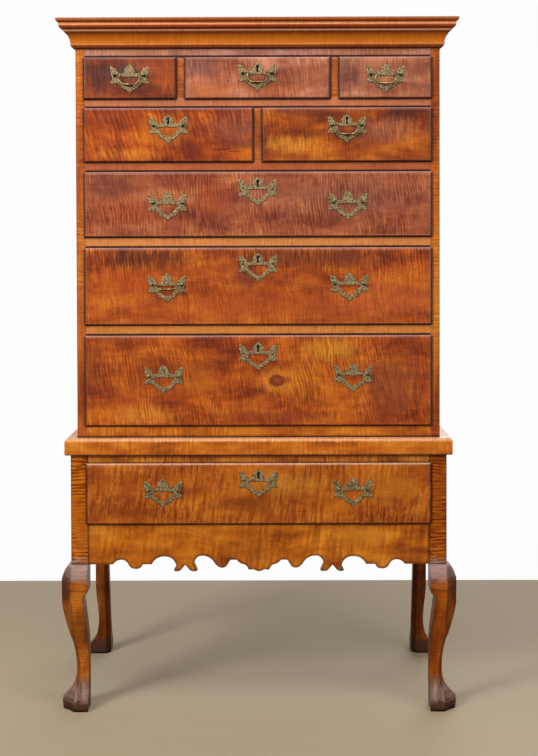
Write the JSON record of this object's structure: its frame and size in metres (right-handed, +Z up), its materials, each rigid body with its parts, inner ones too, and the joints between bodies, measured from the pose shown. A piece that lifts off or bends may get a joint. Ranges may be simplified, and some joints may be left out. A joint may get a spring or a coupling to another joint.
{
  "type": "highboy",
  "caption": "High chest of drawers in two parts: an upper case of lipped drawers under a moulded cornice, on a stand with a scrolled apron, cabriole legs and pierced brass pulls.",
  "frame": {"origin": "on the floor, under the middle of the overall width and depth", "axes": "+Z up; -Y the front, where the drawers open; +X to the right of someone facing the front"},
  "size_m": [1.03, 0.5504, 1.7866],
  "materials": {
    "maple_fronts": "figured maple, old reddish-brown finish, satin",
    "maple_case": "figured maple, golden-brown finish, satin",
    "maple_legs": "maple, dark red-brown finish, satin",
    "maple_mouldings": "maple, amber-brown finish, satin",
    "pine": "unfinished pine, aged",
    "brass": "cast brass with an old brown-green patina"
  },
  "bodies": {
    "root": {"leg_front_right": "maple_legs", "leg_front_left": "maple_legs", "leg_rear_right": "maple_legs", "leg_rear_left": "maple_legs", "stand_side_right": "maple_case", "stand_side_left": "maple_case", "stand_top_rail": "maple_case", "stand_back": "pine", "apron": "maple_case", "waist_front": "maple_mouldings", "waist_right": "maple_mouldings", "waist_left": "maple_mouldings", "case_side_right": "maple_case", "case_side_left": "maple_case", "case_top": "maple_case", "case_bottom": "pine", "top_rail": "maple_case", "bottom_rail": "maple_case", "drawer_blades": "maple_case", "top_row_dividers": "maple_case", "second_row_divider": "maple_case", "cornice_front": "maple_mouldings", "cornice_right": "maple_mouldings", "cornice_left": "maple_mouldings", "back_boards": "pine", "drawer_runners": "pine"},
    "drawer_top_left": {"front_top_left": "maple_fronts", "box_top_left": "pine", "brasses_top_left": "brass"},
    "drawer_top_middle": {"front_top_middle": "maple_fronts", "box_top_middle": "pine", "brasses_top_middle": "brass"},
    "drawer_top_right": {"front_top_right": "maple_fronts", "box_top_right": "pine", "brasses_top_right": "brass"},
    "drawer_second_left": {"front_second_left": "maple_fronts", "box_second_left": "pine", "brasses_second_left": "brass"},
    "drawer_second_right": {"front_second_right": "maple_fronts", "box_second_right": "pine", "brasses_second_right": "brass"},
    "drawer_third": {"front_third": "maple_fronts", "box_third": "pine", "brasses_third": "brass"},
    "drawer_fourth": {"front_fourth": "maple_fronts", "box_fourth": "pine", "brasses_fourth": "brass"},
    "drawer_fifth": {"front_fifth": "maple_fronts", "box_fifth": "pine", "brasses_fifth": "brass"},
    "drawer_stand": {"front_stand": "maple_fronts", "box_stand": "pine", "brasses_stand": "brass"},
    "bail_top_left": {"bail_top_left": "brass"},
    "bail_top_middle": {"bail_top_middle": "brass"},
    "bail_top_right": {"bail_top_right": "brass"},
    "bail_second_right": {"bail_second_right": "brass"},
    "bail_fourth": {"bail_fourth": "brass"}
  },
  "joints": [
    {"name": "slide_top_left", "type": "slide", "parent": "root", "child": "drawer_top_left", "axis": [0, -1, 0], "range_m": [0, 0.33]},
    {"name": "slide_top_middle", "type": "slide", "parent": "root", "child": "drawer_top_middle", "axis": [0, -1, 0], "range_m": [0, 0.33]},
    {"name": "slide_top_right", "type": "slide", "parent": "root", "child": "drawer_top_right", "axis": [0, -1, 0], "range_m": [0, 0.33]},
    {"name": "slide_second_left", "type": "slide", "parent": "root", "child": "drawer_second_left", "axis": [0, -1, 0], "range_m": [0, 0.33]},
    {"name": "slide_second_right", "type": "slide", "parent": "root", "child": "drawer_second_right", "axis": [0, -1, 0], "range_m": [0, 0.33]},
    {"name": "slide_third", "type": "slide", "parent": "root", "child": "drawer_third", "axis": [0, -1, 0], "range_m": [0, 0.33]},
    {"name": "slide_fourth", "type": "slide", "parent": "root", "child": "drawer_fourth", "axis": [0, -1, 0], "range_m": [0, 0.33]},
    {"name": "slide_fifth", "type": "slide", "parent": "root", "child": "drawer_fifth", "axis": [0, -1, 0], "range_m": [0, 0.33]},
    {"name": "slide_stand", "type": "slide", "parent": "root", "child": "drawer_stand", "axis": [0, -1, 0], "range_m": [0, 0.33]},
    {"name": "swing_top_left", "type": "hinge", "parent": "drawer_top_left", "child": "bail_top_left", "pos_m": [-0.33, -0.24995, 1.6431], "axis": [-1, 0, 0], "range_deg": [-14, 170]},
    {"name": "swing_top_middle", "type": "hinge", "parent": "drawer_top_middle", "child": "bail_top_middle", "pos_m": [0, -0.24995, 1.6481], "axis": [-1, 0, 0], "range_deg": [-14, 170]},
    {"name": "swing_top_right", "type": "hinge", "parent": "drawer_top_right", "child": "bail_top_right", "pos_m": [0.33, -0.24995, 1.6441], "axis": [-1, 0, 0], "range_deg": [-14, 170]},
    {"name": "swing_second_right", "type": "hinge", "parent": "drawer_second_right", "child": "bail_second_right", "pos_m": [0.2305, -0.24995, 1.5139], "axis": [-1, 0, 0], "range_deg": [-14, 170]},
    {"name": "swing_fourth", "type": "hinge", "parent": "drawer_fourth", "child": "bail_fourth", "pos_m": [-0.2355, -0.24995, 1.1032], "axis": [-1, 0, 0], "range_deg": [-77, 107]}
  ]
}
